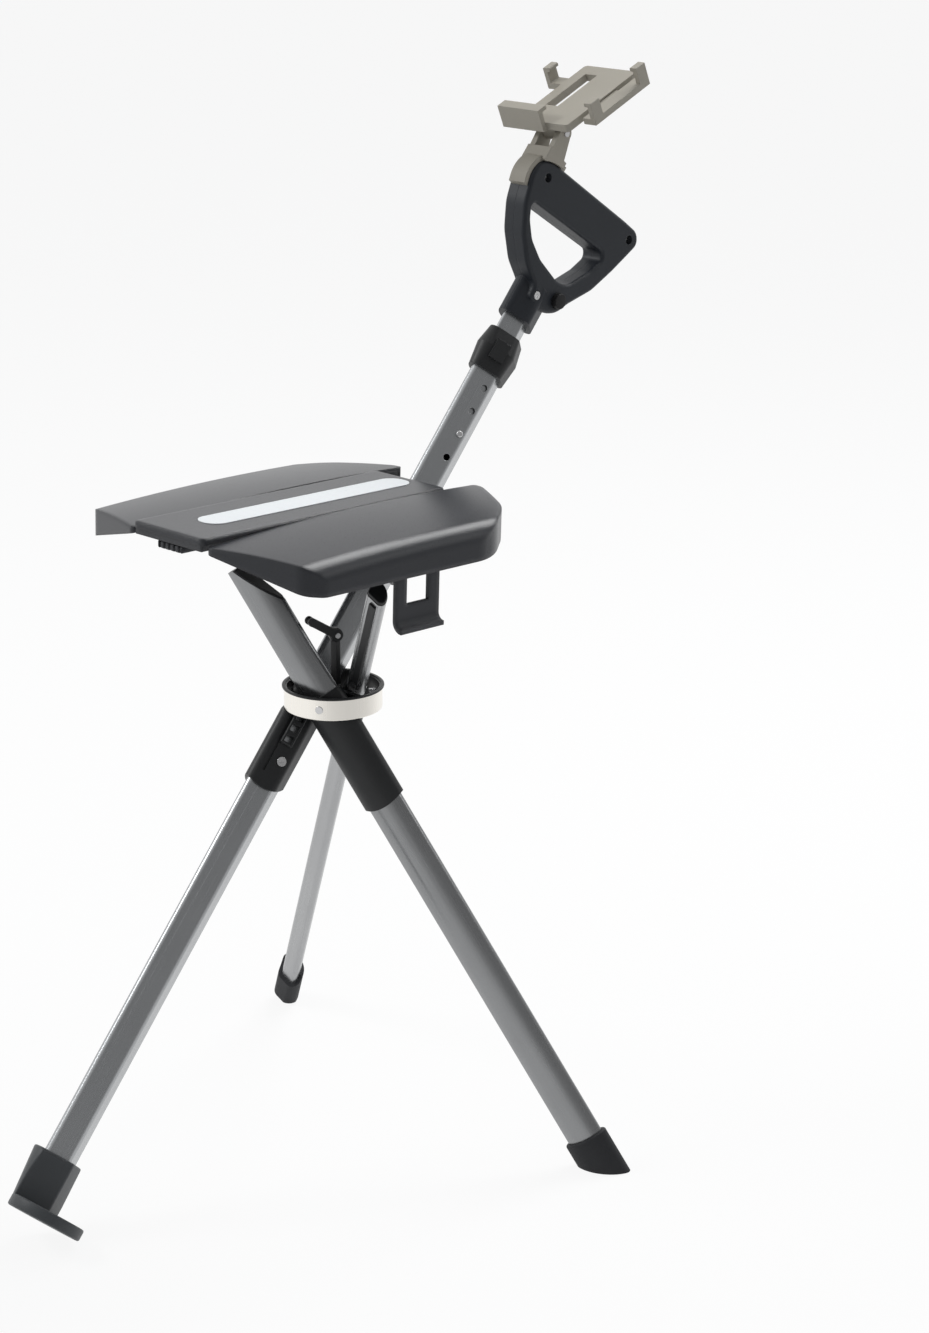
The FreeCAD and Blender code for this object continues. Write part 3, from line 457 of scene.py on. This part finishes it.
def anodised_tube(name, lean, hollow, dark_tone, light_tone):
    material, tree, shader, vector = new_finish(name)
    coords = tree.nodes.new("ShaderNodeTexCoord")
    place = upright_mapping(tree, vector, lean, "POINT")
    facing = upright_mapping(tree, coords.outputs["Normal"], lean, "NORMAL")
    drawn = place_effect(tree, line_effect, place, Line_Scale=tube_line_scale)
    edges = place_effect(tree, edge_effect, vector, Width=tube_edge, Amount=0.35)
    tone = math_node(tree, "MULTIPLY", drawn.outputs["Lines"], drawn.outputs["Cloud"])
    colour = two_tone(tree, tone, dark_tone, light_tone)
    colour = over_colour(tree, edges.outputs["Mask"], colour, rubbed_tube)
    hollow_wall = inside_mask(tree, place, facing, hollow)
    # Walls facing the hollow are painted near-black: painted shade inside the tube and its holes
    colour = over_colour(tree, hollow_wall, colour, hollow_painted_shade)
    tree.links.new(colour, shader.inputs["Base Color"])
    shader.inputs["Metallic"].default_value = tube_metal
    rough = between(tree, drawn.outputs["Lines"], 0.24, 0.29)
    tree.links.new(rough, shader.inputs["Roughness"])
    soft_surface(tree, shader, drawn.outputs["Lines"], 0.015, line_depth, tube_edge)
    return material


def steel_surface(name, dark, light, roughness):
    material, tree, shader, vector = new_finish(name)
    drawn = place_effect(tree, line_effect, vector, Line_Scale=steel_line_scale)
    colour = two_tone(tree, drawn.outputs["Cloud"], dark, light)
    rough = between(tree, drawn.outputs["Lines"], roughness[0], roughness[1])
    tree.links.new(rough, shader.inputs["Roughness"])
    soft_surface(tree, shader, drawn.outputs["Lines"], 0.06, line_depth, steel_edge)
    return material, tree, shader, vector, colour


def bright_steel(name, dark, light, roughness):
    material, tree, shader, vector, colour = steel_surface(name, dark, light, roughness)
    tree.links.new(colour, shader.inputs["Base Color"])
    shader.inputs["Metallic"].default_value = 1.0
    return material


# Polished band outside, black coating inside and on the rims
def lined_ring_steel(name, dark, light, roughness):
    material, tree, shader, vector, colour = steel_surface(name, dark, light, roughness)
    parts = tree.nodes.new("ShaderNodeSeparateXYZ")
    tree.links.new(vector, parts.inputs[0])
    across = math_node(tree, "POWER", parts.outputs["X"], 2.0)
    along = math_node(tree, "POWER", parts.outputs["Y"], 2.0)
    reach = math_node(tree, "SQRT", math_node(tree, "ADD", across, along), 0.0)
    lining = math_node(tree, "LESS_THAN", reach, ring_outer - ring_coat)
    colour = over_colour(tree, lining, colour, coat_black)
    tree.links.new(colour, shader.inputs["Base Color"])
    tree.links.new(between(tree, lining, 1.0, 0.0), shader.inputs["Metallic"])
    return material


finishes = {
    # One anodised finish in three brightnesses: painted light and shade, lighter on the front and
    # left tubes and darker on the right tube, for how each leg is lit
    "front_tube": anodised_tube("anodised_front_tube", front_lean, front_hollow,
                                (0.38, 0.39, 0.40), (0.48, 0.49, 0.50)),
    "right_tube": anodised_tube("anodised_right_tube", right_lean, right_hollow,
                                (0.26, 0.265, 0.27), (0.36, 0.365, 0.37)),
    "left_tube": anodised_tube("anodised_left_tube", left_lean, left_hollow,
                               (0.36, 0.365, 0.37), (0.48, 0.485, 0.49)),
    "ring_steel": lined_ring_steel(
        "polished_ring_steel", (0.90, 0.87, 0.81), (0.97, 0.94, 0.88), (0.22, 0.36)),
    "fastener_steel": bright_steel(
        "fastener_steel", (0.55, 0.55, 0.56), (0.80, 0.80, 0.80), (0.20, 0.34)),
    "hub_plastic": moulded_plastic(
        "satin_black_plastic", dark=(0.017, 0.018, 0.019), light=(0.027, 0.028, 0.029),
        wear_and_highlight=(0.05, 0.05, 0.055), roughness=(0.36, 0.50), grain_scale=1500.0,
        strength=0.18, edge_radius=0.0007),
    # Its lighter edge colour over a 5 mm band is a painted highlight along the seat's rims
    "seat_plastic": moulded_plastic(
        "charcoal_seat_plastic", dark=(0.028, 0.030, 0.035), light=(0.042, 0.044, 0.050),
        wear_and_highlight=(0.10, 0.10, 0.11), roughness=(0.24, 0.34), grain_scale=1300.0,
        strength=0.12, edge_radius=0.0050, gloss=0.30),
    "handle_plastic": moulded_plastic(
        "charcoal_handle_plastic", dark=(0.013, 0.016, 0.021), light=(0.022, 0.026, 0.033),
        wear_and_highlight=(0.08, 0.08, 0.09), roughness=(0.40, 0.54), grain_scale=1500.0,
        strength=0.22, edge_radius=0.0010),
    "strip_white": moulded_plastic(
        "white_strip_plastic", dark=(0.83, 0.87, 0.89), light=(0.89, 0.92, 0.93),
        wear_and_highlight=(0.86, 0.87, 0.88), roughness=(0.30, 0.42), grain_scale=900.0,
        strength=0.08, edge_radius=0.0003),
    "foot_rubber": moulded_plastic(
        "foot_rubber", dark=(0.016, 0.017, 0.019), light=(0.028, 0.029, 0.032),
        wear_and_highlight=(0.06, 0.06, 0.06), roughness=(0.55, 0.75), grain_scale=1100.0,
        strength=0.30, edge_radius=0.0010),
    # Same rubber as the feet, painted lighter: a painted highlight where its faces catch the light
    "ferrule_rubber_painted_light": moulded_plastic(
        "ferrule_rubber_painted_light", dark=(0.055, 0.060, 0.064), light=(0.080, 0.086, 0.091),
        wear_and_highlight=(0.10, 0.10, 0.10), roughness=(0.40, 0.55), grain_scale=1100.0,
        strength=0.20, edge_radius=0.0010),
    "plug_black": moulded_plastic(
        "plug_black_plastic", dark=(0.004, 0.004, 0.005), light=(0.010, 0.010, 0.011),
        wear_and_highlight=(0.03, 0.03, 0.03), roughness=(0.50, 0.65), grain_scale=1200.0,
        strength=0.2, edge_radius=0.0005),
    "holder_plastic": moulded_plastic(
        "putty_holder_plastic", dark=(0.33, 0.305, 0.255), light=(0.43, 0.405, 0.345),
        wear_and_highlight=(0.50, 0.48, 0.44), roughness=(0.45, 0.60), grain_scale=1400.0,
        strength=0.22, edge_radius=0.0006),
}

node_finishes = {
    "front_tube": ["front_leg_tube", "inner_tube"],
    "right_tube": ["right_leg_tube"],
    "left_tube": ["left_leg_tube"],
    "ring_steel": ["hub_ring"],
    "fastener_steel": ["leg_pins", "brace_link_pin", "casing_screw", "push_pin", "seat_pin",
                       "right_leg_screw", "seat_hinge_rods", "latch_pin", "handle_screws",
                       "phone_holder_pin"],
    "hub_plastic": ["brace_column", "brace_link", "front_leg_casing", "right_leg_sleeve",
                    "left_leg_clamp", "seat_bracket", "tube_collar", "left_leg_strip",
                    "left_leg_cap", "right_leg_cap"],
    "seat_plastic": ["seat_centre_panel", "seat_right_wing", "seat_left_wing", "seat_catch",
                     "latch_loop"],
    "handle_plastic": ["handle_near_half", "handle_far_half"],
    "strip_white": ["seat_strip"],
    "ferrule_rubber_painted_light": ["front_ferrule"],
    "foot_rubber": ["right_foot", "left_foot"],
    "plug_black": ["handle_plug"],
    "holder_plastic": ["phone_holder_clamp", "phone_holder_cradle", "phone_holder_jaw"],
}


def dress_nodes():
    for finish, names in node_finishes.items():
        for name in names:
            mesh = nodes[name].data
            mesh.materials.clear()
            mesh.materials.append(finishes[finish])


# Detailed pieces

def level_direction(azimuth):
    turn = math.radians(azimuth)
    return Vector((math.cos(turn), math.sin(turn), 0.0))


def lean_matrix(lean):
    angle, axis = lean
    return Matrix.Rotation(math.radians(angle), 3, Vector(axis))


def box_middle(node):
    low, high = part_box(node)
    return (Vector(low) + Vector(high)) / 2.0


# Outward direction of one flat of a leg, from the direction across the upright leg
def flat_direction(lean, azimuth):
    return lean_matrix(lean) @ level_direction(azimuth)


# Point of the handle from its offset across and its height along the stick
def stick_point(x, across, along):
    return hub_point + lean_matrix(front_lean) @ Vector((x, -across, along))


# Rounds the edges that turn sharply
def soften_edges(piece, width, segments):
    edge = piece.modifiers.new("soft_edge", "BEVEL")
    edge.width = width
    edge.segments = segments
    edge.limit_method = "ANGLE"
    bpy.ops.object.modifier_apply(modifier="soft_edge")


def finish_piece(piece, finish, body):
    bpy.ops.object.transform_apply(location=True, rotation=True, scale=True)
    bpy.ops.object.shade_smooth_by_angle(angle=smooth_angle)
    piece.data.materials.clear()
    piece.data.materials.append(finishes[finish])
    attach(piece, body)


# In edit mode, selects only the faces whose normal is near the wanted one
def select_faces(piece, normal):
    mesh = bmesh.from_edit_mesh(piece.data)
    for face in mesh.faces:
        face.select_set(face.normal.dot(Vector(normal)) > facing_share)
    mesh.select_flush_mode()
    bmesh.update_edit_mesh(piece.data)


# Black flange that laps over the ring's upper edge
def ring_flange():
    bpy.ops.object.select_all(action="DESELECT")
    middle = (flange_low + flange_high) / 2.0
    bpy.ops.mesh.primitive_cylinder_add(
        vertices=128, radius=flange_outer, depth=flange_high - flange_low,
        location=(0.0, 0.0, middle))
    flange = bpy.context.object
    flange.name = "ring_flange"
    bpy.ops.object.mode_set(mode="EDIT")
    mesh = bmesh.from_edit_mesh(flange.data)
    for face in mesh.faces:
        face.select_set(abs(face.normal.z) > facing_share)
    bmesh.update_edit_mesh(flange.data)
    bpy.ops.mesh.inset(thickness=flange_outer - flange_inner, use_individual=True)
    bpy.ops.mesh.bridge_edge_loops()
    bpy.ops.mesh.select_all(action="SELECT")
    bpy.ops.mesh.normals_make_consistent(inside=False)
    bpy.ops.object.mode_set(mode="OBJECT")
    soften_edges(flange, flange_round, 2)
    finish_piece(flange, "hub_plastic", "hub")


# Pan head with a cross recess, its crown facing +Z
def pan_head(radius, height):
    bpy.ops.object.select_all(action="DESELECT")
    bpy.ops.mesh.primitive_cylinder_add(vertices=40, radius=radius, depth=height)
    head = bpy.context.object
    bpy.ops.object.mode_set(mode="EDIT")
    select_faces(head, upward)
    bpy.ops.mesh.inset(thickness=radius * 0.16)
    bpy.ops.transform.translate(value=(0.0, 0.0, height * 0.18))
    bpy.ops.mesh.inset(thickness=radius * 0.24)
    bpy.ops.transform.translate(value=(0.0, 0.0, height * 0.08))
    bpy.ops.object.mode_set(mode="OBJECT")
    for turn in (0.0, 90.0):
        bpy.ops.object.select_all(action="DESELECT")
        bpy.ops.mesh.primitive_cube_add(size=1.0, location=(0.0, 0.0, height * 0.72))
        slot = bpy.context.object
        bpy.ops.transform.resize(value=(radius * 1.1, radius * 0.26, height * 0.8))
        bpy.ops.transform.rotate(
            value=math.radians(turn), orient_axis="Z", center_override=(0.0, 0.0, 0.0))
        bpy.ops.object.transform_apply(location=True, rotation=True, scale=True)
        bpy.ops.object.select_all(action="DESELECT")
        bpy.context.view_layer.objects.active = head
        head.select_set(True)
        cut = head.modifiers.new("recess", "BOOLEAN")
        cut.operation = "DIFFERENCE"
        cut.object = slot
        bpy.ops.object.modifier_apply(modifier="recess")
        bpy.data.objects.remove(slot)
    return head


# One piece of pan heads, each set at a place and facing outwards
def screw_heads(name, places, outward, size, body, node):
    heads = []
    for place in places:
        head = pan_head(*size)
        head.rotation_euler = Vector(outward).to_track_quat("Z", "Y").to_euler()
        head.location = place
        bpy.ops.object.transform_apply(location=True, rotation=True, scale=True)
        heads.append(head)
    bpy.ops.object.select_all(action="DESELECT")
    for head in heads:
        head.select_set(True)
    piece = heads[0]
    bpy.context.view_layer.objects.active = piece
    if len(heads) > 1:
        bpy.ops.object.join()
    piece.name = name
    finish_piece(piece, "fastener_steel", body)
    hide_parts(node)


# Black knob in the handle's lower corner, rounded and dished
def handle_knob():
    low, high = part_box("handle_plug")
    middle = box_middle("handle_plug")
    radius = (high[2] - low[2]) / 2.0
    bpy.ops.object.select_all(action="DESELECT")
    bpy.ops.mesh.primitive_cylinder_add(vertices=48, radius=radius, depth=knob_length)
    knob = bpy.context.object
    knob.name = "handle_knob"
    bpy.ops.object.mode_set(mode="EDIT")
    select_faces(knob, upward)
    bpy.ops.mesh.inset(thickness=radius * 0.25)
    bpy.ops.mesh.inset(thickness=radius * 0.18)
    bpy.ops.transform.translate(value=(0.0, 0.0, -knob_dish))
    bpy.ops.object.mode_set(mode="OBJECT")
    soften_edges(knob, knob_round, 3)
    knob.rotation_euler = (0.0, math.radians(90.0), 0.0)
    knob.location = (low[0] + knob_length / 2.0, middle[1], middle[2])
    finish_piece(knob, "plug_black", "handle")
    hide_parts("handle_plug")


# Rubber ferrule, made on the upright front leg: a cup, flared on its outer side, on the round tip
def flared_ferrule():
    bpy.ops.object.select_all(action="DESELECT")
    bpy.ops.mesh.primitive_cone_add(
        vertices=48, radius1=ferrule_radius - cup_inset, radius2=cup_top_radius, depth=cup_height,
        location=(ferrule_offset, 0.0, ferrule_low + cup_base + cup_height / 2.0))
    cup = bpy.context.object
    bpy.ops.object.transform_apply(location=True, rotation=True, scale=True)
    bpy.ops.object.mode_set(mode="EDIT")
    select_faces(cup, upward)
    bpy.ops.transform.translate(value=(cup_lean, 0.0, 0.0))
    for azimuth in cup_flats:
        normal = level_direction(azimuth)
        place = Vector((cup_apex, 0.0, 0.0)) + normal * cup_wall
        bpy.ops.mesh.select_all(action="SELECT")
        bpy.ops.mesh.bisect(plane_co=place, plane_no=normal, use_fill=True, clear_outer=True)
    bpy.ops.mesh.select_all(action="SELECT")
    bpy.ops.mesh.remove_doubles(threshold=cup_weld)
    bpy.ops.mesh.normals_make_consistent(inside=False)
    bpy.ops.object.mode_set(mode="OBJECT")
    soften_edges(cup, cup_round, 5)
    bpy.ops.object.select_all(action="DESELECT")
    bpy.ops.mesh.primitive_cylinder_add(
        vertices=96, radius=ferrule_radius, depth=tip_height,
        location=(ferrule_offset, 0.0, ferrule_low + tip_height / 2.0))
    tip = bpy.context.object
    bpy.ops.object.transform_apply(location=True, rotation=True, scale=True)
    soften_edges(tip, tip_round, 3)
    whole = tip.modifiers.new("one_moulding", "BOOLEAN")
    whole.operation = "UNION"
    whole.object = cup
    bpy.ops.object.modifier_apply(modifier="one_moulding")
    bpy.data.objects.remove(cup)
    tip.name = "flared_ferrule"
    tip.rotation_euler = lean_matrix(front_lean).to_euler()
    tip.location = hub_point
    finish_piece(tip, "ferrule_rubber_painted_light", "front_leg")
    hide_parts("front_ferrule")


place_camera()
light_studio()
lay_floor()
dress_nodes()
ring_flange()
flared_ferrule()
handle_knob()
screw_heads("casing_screw_head", [box_middle("casing_screw")], flat_direction(front_lean, 330.0),
            casing_head, "front_leg", "casing_screw")
screw_heads("right_leg_screw_head", [box_middle("right_leg_screw")],
            flat_direction(right_lean, -210.0), right_leg_head, "right_leg", "right_leg_screw")
screw_heads("handle_screw_heads", [stick_point(*place) for place in handle_head_places],
            (1.0, 0.0, 0.0), handle_head, "handle", "handle_screws")
scene.view_settings.view_transform = "Standard"
